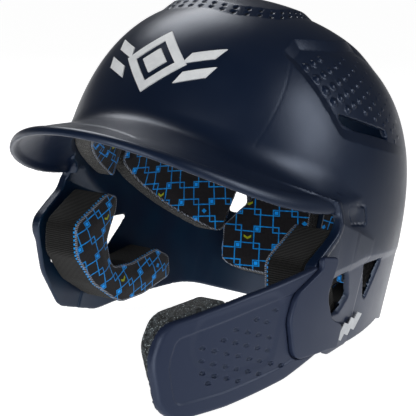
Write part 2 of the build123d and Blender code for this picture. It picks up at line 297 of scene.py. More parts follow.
FACE_CORNERS = [
    (150, 150, 0),
    (-150, 150, 0),
    (-150, 13, 0),
    (-36, 13, 9),
    (-36, -4, 16),
    (-56, -31, 10),
    (-34, -60, 30),
]
LEFT_OUTLINE = rounded(FACE_CORNERS + [(-15, -75, 10), (60, -40, 8), (100, -35.4, 0), (150, -33.5, 0)])
RIGHT_OUTLINE = rounded(FACE_CORNERS + [(-9, -78, 14), (27, -73, 28), (92, -35.7, 40), (150, -33.5, 0)])
EAR_WINDOW = rounded([(-34, -33, 2), (-12, -22.5, 2), (-5, -35, 2), (-13, -46, 2), (-30, -52, 2)])
EAR_VENT = rounded([(9.5, -14, 1), (33, -4.5, 1), (21, -31, 1), (18, -31, 1)])
SIDE_SLOT = rounded([(-37, 65.5, 1.5), (14, 70, 1.5), (17.5, 65.5, 1.5), (-22, 60, 1.5), (-32, 61, 1.5)])
NAPE_VENT = rounded([(53, 21, 2), (63, 20, 2), (65, 36, 2), (56, 37, 2)])


def ellipse_field(x, y, a, b):
    """Distance to an ellipse about the origin, exact near the curve."""
    reach = np.sqrt((x / a) ** 2 + (y / b) ** 2)
    slope = np.sqrt((x / a**2) ** 2 + (y / b**2) ** 2) / np.maximum(reach, 1e-6)
    return (reach - 1) / np.maximum(slope, 1e-6)


def dome_field(x, y, z, inset=0.0):
    """The dome and its skirt, moved in by the inset."""
    taper = 1 - (1 - SKIRT_TAPER) * np.clip(-z / SKIRT_DEPTH, 0, 1)
    a, b, h = (HALF_WIDTH - inset) * taper, (HALF_LENGTH - inset) * taper, CROWN - inset
    y = y - DOME_Y
    reach = np.sqrt((x / a) ** 2 + (y / b) ** 2) + 1e-9
    rise = np.maximum(z, 0) / h
    n = CROWN_POWER
    level = (reach**n + rise**n) ** (1 / n)
    across = np.sqrt((x / a**2) ** 2 + (y / b**2) ** 2) / reach * (reach / level) ** (n - 1)
    upward = (rise / level) ** (n - 1) / h
    return (level - 1) / np.sqrt(across**2 + upward**2)


def cheek_reach(x, y):
    """Distance from a cheek's axis, the same on both sides."""
    return np.sqrt((np.abs(x) - CHEEK_X) ** 2 + (y - CHEEK_Y) ** 2)


def base_field(x, y, z):
    """The smooth outer form: dome and cheek flats."""
    slope = CHEEK_SLOPE_WIDTH * np.clip((z - CHEEK_TOP) / CHEEK_SLOPE_HEIGHT + 1, 0, 1)
    front = CHEEK_BROW_Y + CHEEK_FRONT_SLOPE * (z - CHEEK_TOP) - y
    ends = np.maximum(np.maximum(y - CHEEK_BACK, z - CHEEK_TOP), front)
    cheek = np.maximum(cheek_reach(x, y) - CHEEK_RADIUS + slope, ends)
    return soft_min(dome_field(x, y, z), cheek, 2.0)


def brim_reach(x, y, z):
    """Distance from the brim's arch line, which slopes down to the front."""
    centre = BRIM_ROOT_Z - BRIM_RADIUS + BRIM_DROOP * (y - BRIM_ROOT_Y)
    return np.sqrt(x**2 + (z - centre) ** 2)


def side_edge(x, y, z):
    """Distance to the shell's edge in side view; the left flap is trimmed shorter."""
    return np.where(x > 0, outline_field(LEFT_OUTLINE, y, z), outline_field(RIGHT_OUTLINE, y, z))


def shell_field(x, y, z):
    base = base_field(x, y, z)
    outer = base - relief(x, y, z, base)
    inner = base + WALL + panel_dip(y, z)
    side = side_edge(x, y, z)
    arch = brim_reach(x, y, z)
    plan = ellipse_field(x, y - BRIM_Y, BRIM_HALF_WIDTH, BRIM_REACH)
    top = soft_max(soft_max(arch - BRIM_RADIUS, plan, 1.5), y - DOME_Y, 1.0)
    fillet = 10.0 - 9.0 * smooth_step(y, -50, -5)
    under = np.maximum(np.maximum(arch - BRIM_RADIUS + BRIM_THICKNESS / 2, y + 50), -(z + 2))
    wall = soft_max(soft_min(outer, top, fillet), -inner, 1.0)
    wall = soft_max(soft_max(wall, side, 1.4), -under, 1.0)
    brim = soft_max(top, BRIM_RADIUS - BRIM_THICKNESS - arch, 1.0)
    bead = np.sqrt((plan + 2.2) ** 2 + (arch - BRIM_RADIUS + 2.1) ** 2) - 2.7
    bead = soft_max(bead, y + 15, 2.0)
    brim = soft_max(soft_min(brim, bead, 0.8), -inner, 1.0)
    shell = soft_min(wall, brim, 1.6)
    depth = np.clip(1 + base / WALL, 0, 1)
    for cut in (
        outline_field(EAR_WINDOW, y - 6.0 * depth, z + 1.0 * depth) - 2.2 * depth,
        outline_field(EAR_VENT, y - 4.5 * depth, z + 1.0 * depth) - 1.8 * depth,
        outline_field(SIDE_SLOT, y, z) - 1.0 * depth,
        np.maximum(outline_field(NAPE_VENT, np.abs(x), z) - 1.0 * depth, 60 - y),
    ):
        shell = soft_max(shell, -cut, 0.6)
    return shell


# Moulded detail, as outlines seen from the side (y, z) or from above (x, y).
SIDE_PANEL = rounded(
    [
        (-69, 90, 5),
        (-57, 103, 6),
        (10, 124, 0),
        (75, 118, 10),
        (88, 80, 10),
        (60, 64, 20),
        (-10, 54, 20),
        (-36, 51, 10),
    ]
)
PANEL_SLOPE_WIDTH = 6.5
PANEL_DEPTH = 2.6
BUMP_START = np.array([-55.0, 88.5])
BUMP_DOWN = np.array([5.2, -5.3])
BUMP_BACK = np.array([6.3, 4.6])
CROWN_HALF = [(24, -77, 20), (44, -56, 20), (42, -25, 25), (30, 10, 30), (26, 92, 10)]
CROWN_PANEL = rounded([(0, -78, 0)] + CROWN_HALF + [(-x, y, radius) for x, y, radius in reversed(CROWN_HALF)])
CROWN_RISE = 2.7
CROWN_SLOPE_WIDTH = 5.5
DOT_PITCH = 0.105
BADGE = rounded([(-26, 14.5, 2), (-6, 18.5, 2), (-1, 8.5, 2), (-20, 4, 2)])
FLAP_LOWER = rounded(
    [(-70, -49, 0), (-26, -25, 10), (10, -8.5, 40), (70, 9, 0), (150, 20, 0), (150, -100, 0), (-70, -100, 0)]
)
FLAP_RECESS = 1.8


def side_bumps(x, y, z):
    """Rows of bumps on the side panel, which shrink towards the back."""
    det = BUMP_DOWN[0] * BUMP_BACK[1] - BUMP_DOWN[1] * BUMP_BACK[0]
    dy, dz = y - BUMP_START[0], z - BUMP_START[1]
    row = np.round((dy * BUMP_BACK[1] - dz * BUMP_BACK[0]) / det)
    column = np.round((dz * BUMP_DOWN[0] - dy * BUMP_DOWN[1]) / det)
    row, column = np.clip(row, 0, 9), np.clip(column, 0, 9)
    spot_y = BUMP_START[0] + row * BUMP_DOWN[0] + column * BUMP_BACK[0]
    spot_z = BUMP_START[1] + row * BUMP_DOWN[1] + column * BUMP_BACK[1]
    level = np.clip(1 - np.clip(spot_z / CROWN, 0, 1) ** CROWN_POWER, 0, 1) ** (2 / CROWN_POWER)
    spot_x = HALF_WIDTH * np.sqrt(np.clip(level - ((spot_y - DOME_Y) / HALF_LENGTH) ** 2, 0, 1))
    from_spot = (np.abs(x) - spot_x, y - spot_y, z - spot_z)
    reach = np.sqrt(np.clip(level, 1e-6, 1))
    slope = reach ** (CROWN_POWER - 2)
    facing = (
        spot_x / HALF_WIDTH**2 * slope,
        (spot_y - DOME_Y) / HALF_LENGTH**2 * slope,
        np.clip(spot_z / CROWN, 0, 1) ** (CROWN_POWER - 1) / CROWN,
    )
    out = sum(a * b for a, b in zip(from_spot, facing)) / np.sqrt(sum(b * b for b in facing))
    away = np.sqrt(np.clip(sum(a * a for a in from_spot) - out**2, 0, None))
    radius = 3.1 - 0.33 * column
    clear = outline_field(SIDE_PANEL, spot_y, spot_z) < -PANEL_SLOPE_WIDTH - 1
    clear &= outline_field(SIDE_SLOT, spot_y, spot_z) > 4
    height = 0.45 * radius * np.clip(1 - (away / radius) ** 2, 0, 1)
    return np.where(clear & (radius > 0.3), height, 0)


def crown_dots(x, y, z, ramp):
    """Pairs of small pits along the crown panel's sloping edge."""
    around = np.arctan2(x, -(y + 5))
    place = around / DOT_PITCH - np.round(around / DOT_PITCH)
    pit = 0.0
    for level in (0.28, 0.74):
        away = np.sqrt((place * DOT_PITCH * 62 / 1.6) ** 2 + ((ramp - level) * CROWN_SLOPE_WIDTH / 1.1) ** 2)
        pit = pit + np.clip(1 - away**2, 0, 1)
    return np.where((np.abs(around) < 1.6) & (z > 60), pit * 1.1, 0)


def panel_dip(y, z):
    """Depth of the side panel, which fades out towards the back."""
    dip = PANEL_DEPTH * np.clip(-outline_field(SIDE_PANEL, y, z) / PANEL_SLOPE_WIDTH, 0, 1)
    return dip * (1 - smooth_step(y, -5, 75)) * (z > 30)


def relief(x, y, z, base):
    """Height of the moulded detail above the smooth form."""
    height = side_bumps(x, y, z) - panel_dip(y, z)
    ramp = np.clip(-outline_field(CROWN_PANEL, x, y) / CROWN_SLOPE_WIDTH, 0, 1)
    crown = CROWN_RISE * ramp * (1 - smooth_step(y, 40, 92)) - crown_dots(x, y, z, ramp)
    height = height + np.where(z > 60, crown, 0)
    badge = outline_field(BADGE, y, z)
    height = height - 0.75 * np.clip(1.15 - np.abs(badge) / 0.9, 0, 1)
    flap = outline_field(FLAP_LOWER, y, z)
    height = height - FLAP_RECESS * np.clip(-flap / 4.5, 0, 1) * (1 - smooth_step(y, 40, 100))
    side = side_edge(x, y, z)
    lip = (1 - smooth_step(-side, 3.6, 5.2)) * (z < 14) * (1 - smooth_step(y, -30, -5))
    height = height + 1.7 * lip * smooth_step(z, -45, -30)
    crease = np.abs((y + 65) * 0.94 + (z - 88) * -0.335) / 1.0
    return height - 0.08 * np.clip(1 - crease / 0.9, 0, 1) * (z > 29) * (z < 88) * (y < -55)


# ---------------------------------------------------------------- making pieces
MOST_TRIANGLES = 190000


def make_piece(name, field, low, high, cell, material, body, stands_for=(), detail=None):
    """A smooth-shaded mesh of a distance field, riding on a body."""
    points, faces = mesh_field(field, low, high, cell)
    mesh = bpy.data.meshes.new(name)
    mesh.vertices.add(len(points))
    mesh.vertices.foreach_set("co", to_row(points).ravel())
    mesh.loops.add(faces.size)
    mesh.loops.foreach_set("vertex_index", faces.ravel())
    mesh.polygons.add(len(faces))
    mesh.polygons.foreach_set("loop_start", np.arange(0, faces.size, 4))
    mesh.update(calc_edges=True)
    mesh.validate()
    piece = bpy.data.objects.new(name, mesh)
    bpy.context.scene.collection.objects.link(piece)
    if 2 * len(faces) > MOST_TRIANGLES:
        thin(piece, MOST_TRIANGLES / (2 * len(faces)))
    mesh = piece.data
    mesh.materials.append(material)
    mesh.shade_smooth()
    places = np.empty(3 * len(mesh.vertices))
    mesh.vertices.foreach_get("co", places)
    places = to_level(places.reshape(-1, 3))
    _, slope = sample(field, places, cell * 0.3)
    normals = slope / np.maximum(np.linalg.norm(slope, axis=1, keepdims=True), 1e-9)
    mesh.normals_split_custom_set_from_vertices(turn_to_row(normals))
    if detail:
        for label, values in detail(*places.T).items():
            layer = mesh.attributes.new(label, "FLOAT_VECTOR", "POINT")
            values = np.stack(np.broadcast_arrays(*values), -1)
            layer.data.foreach_set("vector", values.astype(np.float32).ravel())
    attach(piece, body)
    if stands_for:
        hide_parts(*stands_for)
    return piece


def thin(piece, ratio):
    """Fewer faces on the flatter stretches."""
    modifier = piece.modifiers.new("thin", "DECIMATE")
    modifier.ratio = ratio
    graph = bpy.context.evaluated_depsgraph_get()
    mesh = bpy.data.meshes.new_from_object(piece.evaluated_get(graph))
    piece.modifiers.clear()
    piece.data = mesh


# ---------------------------------------------------------------- materials
class Number:
    """A shader value that takes ordinary arithmetic."""

    def __init__(self, tree, socket):
        self.tree = tree
        self.socket = socket

    def apply(self, operation, *others):
        node = self.tree.nodes.new("ShaderNodeMath")
        node.operation = operation
        for place, value in enumerate((self, *others)):
            join(self.tree, value, node.inputs[place])
        return Number(self.tree, node.outputs[0])

    def __add__(self, other):
        return self.apply("ADD", other)

    def __sub__(self, other):
        return self.apply("SUBTRACT", other)

    def __mul__(self, other):
        return self.apply("MULTIPLY", other)

    def __truediv__(self, other):
        return self.apply("DIVIDE", other)

    def __lt__(self, other):
        return self.apply("LESS_THAN", other)

    def __gt__(self, other):
        return self.apply("GREATER_THAN", other)

    def __abs__(self):
        return self.apply("ABSOLUTE")

    def wave(self, length):
        """A smooth wave between 0 and 1 that repeats at this length."""
        return (self * (2 * pi / length)).apply("SINE") * 0.5 + 0.5

    def band(self, low, high):
        """Rises smoothly from 0 to 1 between two values."""
        node = self.tree.nodes.new("ShaderNodeMapRange")
        node.interpolation_type = "SMOOTHSTEP"
        join(self.tree, self, node.inputs["Value"])
        node.inputs["From Min"].default_value = low
        node.inputs["From Max"].default_value = high
        return Number(self.tree, node.outputs["Result"])


def join(tree, value, socket):
    """Links a value to a socket, or sets a plain number or colour on it."""
    if isinstance(value, Number):
        tree.links.new(value.socket, socket)
    elif isinstance(value, bpy.types.NodeSocket):
        tree.links.new(value, socket)
    elif isinstance(value, tuple):
        socket.default_value = (*value, 1)
    else:
        socket.default_value = value


def new_material(name, color, roughness, sheen=0.0, metallic=0.0, specular=0.5):
    material = bpy.data.materials.new(name)
    material.use_nodes = True
    shader = material.node_tree.nodes["Principled BSDF"]
    shader.inputs["Base Color"].default_value = (*color, 1)
    shader.inputs["Roughness"].default_value = roughness
    shader.inputs["Sheen Weight"].default_value = sheen
    shader.inputs["Sheen Roughness"].default_value = 0.5
    shader.inputs["Metallic"].default_value = metallic
    shader.inputs["Specular IOR Level"].default_value = specular
    return material, material.node_tree, shader


def attribute(tree, label):
    """The three numbers of a mesh attribute, in millimetres."""
    source = tree.nodes.new("ShaderNodeAttribute")
    source.attribute_name = label
    split = tree.nodes.new("ShaderNodeSeparateXYZ")
    tree.links.new(source.outputs["Vector"], split.inputs[0])
    return [Number(tree, split.outputs[k]) for k in range(3)]


def noise(tree, size, detail=3.0, roughness=0.5, stretch=None):
    """Noise with features of about this size in metres, fixed to the piece."""
    place = tree.nodes.new("ShaderNodeTexCoord").outputs["Object"]
    if stretch:
        mapping = tree.nodes.new("ShaderNodeMapping")
        mapping.inputs["Scale"].default_value = stretch
        tree.links.new(place, mapping.inputs["Vector"])
        place = mapping.outputs["Vector"]
    node = tree.nodes.new("ShaderNodeTexNoise")
    tree.links.new(place, node.inputs["Vector"])
    node.inputs["Scale"].default_value = 1 / size
    node.inputs["Detail"].default_value = detail
    node.inputs["Roughness"].default_value = roughness
    return Number(tree, node.outputs[0])


def cells(tree, size, feature="F1"):
    """Distance to the nearest of scattered points, about this size in metres apart."""
    node = tree.nodes.new("ShaderNodeTexVoronoi")
    node.feature = feature
    tree.links.new(tree.nodes.new("ShaderNodeTexCoord").outputs["Object"], node.inputs["Vector"])
    node.inputs["Scale"].default_value = 1 / size
    return Number(tree, node.outputs["Distance"])


def blend(tree, amount, first, second):
    """A colour between two colours."""
    node = tree.nodes.new("ShaderNodeMix")
    node.data_type = "RGBA"
    join(tree, amount, node.inputs[0])
    join(tree, first, node.inputs[6])
    join(tree, second, node.inputs[7])
    return node.outputs[2]


def raise_surface(tree, shader, height, depth, strength=1.0):
    """Bump from a height between 0 and 1, as deep as depth in metres."""
    node = tree.nodes.new("ShaderNodeBump")
    node.inputs["Strength"].default_value = strength
    node.inputs["Distance"].default_value = depth
    join(tree, height, node.inputs["Height"])
    tree.links.new(node.outputs["Normal"], shader.inputs["Normal"])


# Colours as the shader takes them.
GLOSS_TINT = (0.70, 0.80, 1.0)


def moulded(name, color, pale, roughness, grain):
    """Painted or moulded plastic: fine grain, cloudy tone, faint rub marks and scratches."""
    material, tree, shader = new_material(name, color, roughness)
    shader.inputs["Specular Tint"].default_value = (*GLOSS_TINT, 1)
    tone = noise(tree, 0.045, 4).band(0.3, 0.75)
    rubs = noise(tree, 0.004, 6, 0.7, (1.0, 0.35, 6.0)).band(0.66, 0.8)
    dust = cells(tree, 0.0035).apply("LESS_THAN", 0.045)
    marks = rubs * 0.22 + dust * 0.35
    shade = blend(tree, tone * 0.35 + marks, color, pale)
    tree.links.new(shade, shader.inputs["Base Color"])
    cloud = noise(tree, 0.018, 3)
    join(tree, cloud * 0.12 + (roughness - 0.06) + rubs * 0.08, shader.inputs["Roughness"])
    fine_grain = noise(tree, grain, 2, 0.6)
    swell = noise(tree, 0.012, 1)
    raise_surface(tree, shader, fine_grain * 0.6 + swell * 0.4 - rubs * 0.2, 0.00012, 0.5)
    return material, tree, shader


def shell_paint():
    """Navy paint, deeper inside; the lower flaps are painted greyer as a painted floor reflection, and the
    crown's pits get painted shade.
    """
    material, tree, shader = moulded("shell_paint", NAVY, NAVY_PALE, 0.35, 0.0006)
    lower, inside, pits = attribute(tree, "zone")
    outer = shader.inputs["Base Color"].links[0].from_socket
    # Painted reflection: the lower flap is painted a lighter slate where it would catch the pale floor's
    # light.
    shade = blend(tree, lower, outer, blend(tree, noise(tree, 0.03, 4).band(0.3, 0.7), SLATE, SLATE_PALE))
    shade = blend(tree, inside, shade, blend(tree, noise(tree, 0.02, 4).band(0.35, 0.7), NAVY_INSIDE, NAVY))
    # Painted shade: the crown's pits are darkened in colour as well as dented.
    shade = blend(tree, pits.band(0.3, 0.9), shade, PIT_PAINTED_SHADE)
    tree.links.new(shade, shader.inputs["Base Color"])
    return material


def pitted_plastic():
    """The guard's slate plastic, with painted shade in its pits."""
    material, tree, shader = moulded("guard_plastic", SLATE, SLATE_PALE, 0.44, 0.0007)
    pits = attribute(tree, "zone")[0].band(0.35, 1.0) * 0.8
    outer = shader.inputs["Base Color"].links[0].from_socket
    # Painted shade: the guard's pits are darkened towards navy in colour.
    shade = blend(tree, pits, outer, NAVY)
    tree.links.new(shade, shader.inputs["Base Color"])
    return material


def foam(name, dark, pale, speck):
    """Closed-cell foam: packed cells of mixed grey, with glinting specks."""
    material, tree, shader = new_material(name, dark, 0.95, 0.15, specular=0.25)
    cell_edges = cells(tree, 0.0011)
    mottle = noise(tree, 0.0022, 5, 0.8).band(0.40, 0.64)
    glints = noise(tree, 0.0011, 2, 0.6).band(0.62, 0.70)
    shade = blend(tree, mottle, dark, pale)
    shade = blend(tree, glints, shade, speck)
    tree.links.new(shade, shader.inputs["Base Color"])
    raise_surface(tree, shader, cell_edges * 0.7 + mottle * 0.5, 0.0005, 0.8)
    return material


PRINT_PITCH = 12.0
PRINT_OVERLAP = 3.8
PRINT_LINE = 0.75
PRINT_DOT = 1.15


def wrap(value, pitch):
    """Distance from the middle of the nearest cell, and that cell's number."""
    number = (value / pitch).apply("FLOOR")
    return value - (number + 0.5) * pitch, number


def printed_knit():
    """Black knit printed with overlapping squares, dots and chevrons, with a bound edge."""
    material, tree, shader = new_material("printed_knit", KNIT, 0.9, 0.12, specular=0.15)
    u, v, edge = attribute(tree, "cloth")
    a, column = wrap(u, PRINT_PITCH)
    b, row = wrap(v, PRINT_PITCH)
    odd = (column + row).apply("PINGPONG", 1.0)
    reach = (PRINT_PITCH - PRINT_OVERLAP) / 2
    on_a = abs(abs(a) - reach) < PRINT_LINE / 2
    on_b = abs(abs(b) - reach) < PRINT_LINE / 2
    corner_a = abs(b) > reach - PRINT_LINE / 2
    corner_b = abs(a) > reach - PRINT_LINE / 2
    lines = on_a.apply("MULTIPLY", corner_a.apply("MAXIMUM", odd))
    lines = lines.apply("MAXIMUM", on_b.apply("MULTIPLY", corner_b.apply("MAXIMUM", odd)))
    vertex_a, vertex_column = wrap(u + PRINT_PITCH / 2, PRINT_PITCH)
    vertex_b, vertex_row = wrap(v + PRINT_PITCH / 2, PRINT_PITCH)
    dotted = (vertex_column + vertex_row).apply("PINGPONG", 1.0)
    dots = (abs(vertex_a).apply("MAXIMUM", abs(vertex_b)) < PRINT_DOT) * dotted
    marks = abs(b - abs(a) * 0.6 + 0.8) < 0.8
    marks = marks * (abs(a) < 2.4) * odd
    choice = (column * 2.0 + row * 3.0).apply("PINGPONG", 3.0)
    chevrons = marks * (choice < 0.5)
    arrows = (abs(a) * 0.9 + abs(b + 0.4) < 1.7) * odd * (choice > 2.5)
    worn = noise(tree, 0.0025, 4, 0.7).band(0.25, 0.7)
    weave = u.wave(0.9) * v.wave(0.9)
    ground = blend(tree, weave * 0.6 + worn * 0.3, KNIT, KNIT_PALE)
    blue = blend(tree, worn, PRINT_BLUE_DARK, PRINT_BLUE)
    inked = lines.apply("MAXIMUM", arrows) * (worn * 0.25 + 0.72)
    shade = blend(tree, inked, ground, blue)
    shade = blend(tree, dots, shade, PRINT_DOT_COLOR)
    shade = blend(tree, chevrons * 0.9, shade, PRINT_YELLOW)
    bound = edge.band(1.3, 0.7) * (u + v).wave(1.6).band(0.1, 0.5)
    shade = blend(tree, bound, shade, SEAM)
    tree.links.new(shade, shader.inputs["Base Color"])
    stitched = edge.band(0.2, 1.4) * 0.8
    raise_surface(tree, shader, weave * 0.35 + stitched + lines * 0.15, 0.0004, 0.7)
    return material


def ribbed_band():
    """Black knitted band with fine ribs across it and a blue seam at its inner edge."""
    material, tree, shader = new_material("ribbed_band", BAND, 0.92, 0.08, specular=0.15)
    along, depth, edge = attribute(tree, "cloth")
    ribs = along.wave(1.35)
    loops = depth.wave(1.0)
    worn = noise(tree, 0.003, 4, 0.7).band(0.3, 0.75)
    shade = blend(tree, ribs * 0.7 + loops * 0.15 + worn * 0.15, BAND, BAND_PALE)
    seam = (edge < 1.0) * along.wave(2.6).band(0.35, 0.6)
    shade = blend(tree, seam, shade, PRINT_BLUE)
    tree.links.new(shade, shader.inputs["Base Color"])
    raise_surface(tree, shader, ribs * 0.8 + loops * 0.2, 0.0005, 0.8)
    return material


def printed_mark(name, color, pale):
    """Screen-printed white ink: fine pinholes and a slightly uneven edge."""
    material, tree, shader = new_material(name, color, 0.45)
    mottle = noise(tree, 0.006, 5, 0.65).band(0.3, 0.7)
    pinholes = cells(tree, 0.0012).apply("LESS_THAN", 0.12)
    shade = blend(tree, mottle * 0.6 + pinholes * 0.4, pale, color)
    tree.links.new(shade, shader.inputs["Base Color"])
    join(tree, mottle * 0.15 + 0.38, shader.inputs["Roughness"])
    raise_surface(tree, shader, noise(tree, 0.0008, 2), 0.00008, 0.5)
    return material


def turned_metal(name, color, dark, roughness):
    """Plated metal with fine turning lines and tarnish."""
    material, tree, shader = new_material(name, color, roughness, metallic=1.0)
    turning = noise(tree, 0.0006, 3, 0.5, (4.0, 0.3, 0.3))
    tarnish = noise(tree, 0.003, 5, 0.7).band(0.4, 0.7)
    shade = blend(tree, tarnish * 0.7 + turning * 0.2, color, dark)
    tree.links.new(shade, shader.inputs["Base Color"])
    join(tree, turning * 0.2 + (roughness - 0.1) + tarnish * 0.15, shader.inputs["Roughness"])
    raise_surface(tree, shader, turning, 0.0001, 0.6)
    return material


NAVY = (0.0024, 0.0072, 0.022)
NAVY_PALE = (0.0042, 0.0100, 0.027)
# Painted shade, darkening the crown's pits.
PIT_PAINTED_SHADE = (0.0006, 0.0012, 0.003)
NAVY_INSIDE = (0.0018, 0.012, 0.030)
SLATE = (0.0105, 0.0165, 0.040)
SLATE_PALE = (0.0135, 0.020, 0.045)
KNIT = (0.0065, 0.0058, 0.0068)
KNIT_PALE = (0.016, 0.015, 0.018)
PRINT_BLUE = (0.002, 0.30, 0.80)
PRINT_BLUE_DARK = (0.001, 0.20, 0.62)
PRINT_DOT_COLOR = (0.002, 0.30, 0.90)
PRINT_YELLOW = (0.32, 0.36, 0.010)
SEAM = (0.20, 0.22, 0.26)
BAND = (0.0016, 0.0016, 0.0017)
BAND_PALE = (0.0105, 0.0105, 0.0100)

navy = shell_paint()
slate = pitted_plastic()
foam_grey = foam("pad_foam", (0.009, 0.009, 0.009), (0.055, 0.053, 0.050), (0.26, 0.26, 0.25))
foam_black = foam("guard_foam", (0.008, 0.009, 0.010), (0.065, 0.078, 0.085), (0.45, 0.52, 0.55))
print_fabric = printed_knit()
band_fabric = ribbed_band()


def finish_node(name, material):
    """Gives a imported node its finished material."""
    for place in nodes[name].material_slots:
        place.material = material


finish_node("front_emblem", printed_mark("emblem_ink", (0.84, 0.86, 0.87), (0.70, 0.72, 0.74)))
finish_node("side_decal", printed_mark("decal_ink", (0.60, 0.62, 0.64), (0.40, 0.42, 0.45)))
finish_node("guard_screws", turned_metal("screw_steel", (0.62, 0.62, 0.64), (0.28, 0.28, 0.30), 0.35))
finish_node("guard_tee_nuts", turned_metal("nut_brass", (0.72, 0.53, 0.24), (0.34, 0.22, 0.09), 0.35))


def shell_zones(x, y, z):
    """How far each place is on the lower flap (painted greyer as a floor reflection), how far inside the
    shell, and how much painted shade falls in the crown's pits.
    """
    base = base_field(x, y, z)
    flap = smooth_step(-outline_field(FLAP_LOWER, y, z), -4, 1)
    inside = smooth_step(-base, 1.8, 3.4) * (brim_reach(x, y, z) < BRIM_RADIUS - 1)
    ramp = np.clip(-outline_field(CROWN_PANEL, x, y) / CROWN_SLOPE_WIDTH, 0, 1)
    return {"zone": (flap, inside, crown_dots(x, y, z, ramp))}


fine = 1.25
make_piece(
    "shell",
    shell_field,
    (-106, -173, -82),
    (106, 139, 139),
    fine,
    navy,
    "helmet",
    ["outer_shell"],
    detail=shell_zones,
)

# ---------------------------------------------------------------- jaw guard and its cover
GUARD_RADIUS = CHEEK_RADIUS + 0.5
TONGUE = 2.4
BLADE = 4.0
COVER_RADIUS = GUARD_RADIUS + TONGUE + 0.3
COVER_THICKNESS = 3.5
GUARD_FOAM = 14.0
GUARD_OUTLINE = rounded(
    [
        (-36, -25, 4),
        (-51, -27, 20),
        (-98, -55.5, 30),
        (-140.8, -84, 16),
        (-142.6, -104, 30),
        (-130, -134.5, 12),
        (-96, -117, 60),
        (-58, -94, 50),
        (-28, -70.5, 3),
        (-19.5, -66, 2),
        (-19.5, -56, 2),
        (-32, -53, 8),
        (-39, -42, 6),
    ],
    8,
)
COVER_OUTLINE = rounded(
    [
        (-36, -18, 3),
        (-53, -22, 3),
        (-50, -28, 4),
        (-67, -47, 14),
        (-68, -62, 16),
        (-57, -83, 8),
        (-28, -71.5, 4),
        (-17, -68, 3),
        (-17, -54, 3),
        (-30, -53.5, 10),
        (-40, -42, 12),
    ],
    8,
)
GUARD_FOAM_OUTLINE = rounded(
    [
        (-106, -58, 4),
        (-134, -78, 14),
        (-136, -96, 20),
        (-124, -121, 10),
        (-106, -113, 4),
    ]
)
GUARD_PANEL = rounded(
    [
        (-72, -44, 8),
        (-100, -60, 8),
        (-124, -75, 10),
        (-124, -106, 14),
        (-96, -99, 14),
        (-72, -86, 8),
    ]
)
GUARD_RECESS = 0.55
PANEL_RECESS = 0.5
# Rows of pits: where the first stands along the guard, how many, and their level.
PIT_ROWS = [
    (59, 1, -58.5),
    (71, 2, -66.5),
    (83, 4, -75),
    (89.5, 5, -82.3),
    (101.5, 8, -89.5),
    (100.5, 6, -96.5),
    (98, 4, -102.6),
    (93, 1, -107),
]
PIT_STEP = 8.0
PIT_DEPTH = 1.4


def guard_pits(x, y, z):
    """Depth of the rows of small slanted pits on the guard."""
    arc = -CHEEK_RADIUS * np.arctan2(y - CHEEK_Y, x - CHEEK_X)
    depth = 0.0
    for first, count, level in PIT_ROWS:
        for k in range(count):
            along, up = arc - first + PIT_STEP * k, z - level - 0.33 * k
            away = np.sqrt((along / 1.75) ** 2 + ((up + 0.25 * along) / 1.0) ** 2)
            depth = depth + np.clip((1.15 - away) / 0.4, 0, 1)
    return depth


def guard_field(x, y, z):
    side = outline_field(GUARD_OUTLINE, y, z)
    room = outline_field(COVER_OUTLINE, y, z) - 0.45
    reach = np.sqrt((x - CHEEK_X) ** 2 + (y - CHEEK_Y) ** 2)
    depth = -side
    panel = outline_field(GUARD_PANEL, y, z)
    surface = GUARD_RADIUS + BLADE - GUARD_RECESS * smooth_step(depth, 7.6, 8.8)
    surface = surface - PANEL_RECESS * smooth_step(-panel, -2.5, 2.5)
    surface = surface - PIT_DEPTH * guard_pits(x, y, z)
    blade = soft_max(reach - surface, GUARD_RADIUS - reach, 0.5)
    blade = soft_max(blade, side, 2.2)
    blade = soft_max(blade, -room, 0.5)
    tongue = np.maximum(np.abs(reach - GUARD_RADIUS - TONGUE / 2) - TONGUE / 2, side)
    guard = np.minimum(blade, tongue)
    for screw_y, screw_z in SCREWS:
        guard = np.maximum(guard, 4.3 - np.sqrt((y - screw_y) ** 2 + (z - screw_z) ** 2))
    return guard


def guard_pit_painted_shade(x, y, z):
    """Where painted shade darkens the pits on the guard's outer face."""
    outside = smooth_step(np.sqrt((x - CHEEK_X) ** 2 + (y - CHEEK_Y) ** 2) - GUARD_RADIUS, 1, 2)
    return {"zone": (guard_pits(x, y, z) * outside, 0.0, 0.0)}


def cover_field(x, y, z):
    side = outline_field(COVER_OUTLINE, y, z)
    reach = np.sqrt((x - CHEEK_X) ** 2 + (y - CHEEK_Y) ** 2)
    return soft_max(np.abs(reach - COVER_RADIUS - COVER_THICKNESS / 2) - COVER_THICKNESS / 2, side, 1.0)


def guard_foam_field(x, y, z):
    side = outline_field(GUARD_FOAM_OUTLINE, y, z)
    reach = np.sqrt((x - CHEEK_X) ** 2 + (y - CHEEK_Y) ** 2)
    inner = GUARD_RADIUS - GUARD_FOAM
    return soft_max(soft_max(inner - reach, side, 3.0), reach - GUARD_RADIUS + 0.1, 0.5)


make_piece(
    "guard_blade",
    guard_field,
    (62, -147, -134),
    (110, -15, -20),
    fine * 0.62,
    slate,
    "guard",
    ["jaw_guard"],
    detail=guard_pit_painted_shade,
)
make_piece(
    "screw_cover",
    cover_field,
    (95, -70, -83),
    (112, -14, -16),
    fine * 0.6,
    slate,
    "cover",
    ["guard_cover"],
)
guard_pad = make_piece(
    "guard_pad",
    guard_foam_field,
    (48, -139, -124),
    (103, -60, -38),
    fine,
    foam_black,
    "guard",
    ["guard_foam"],
)

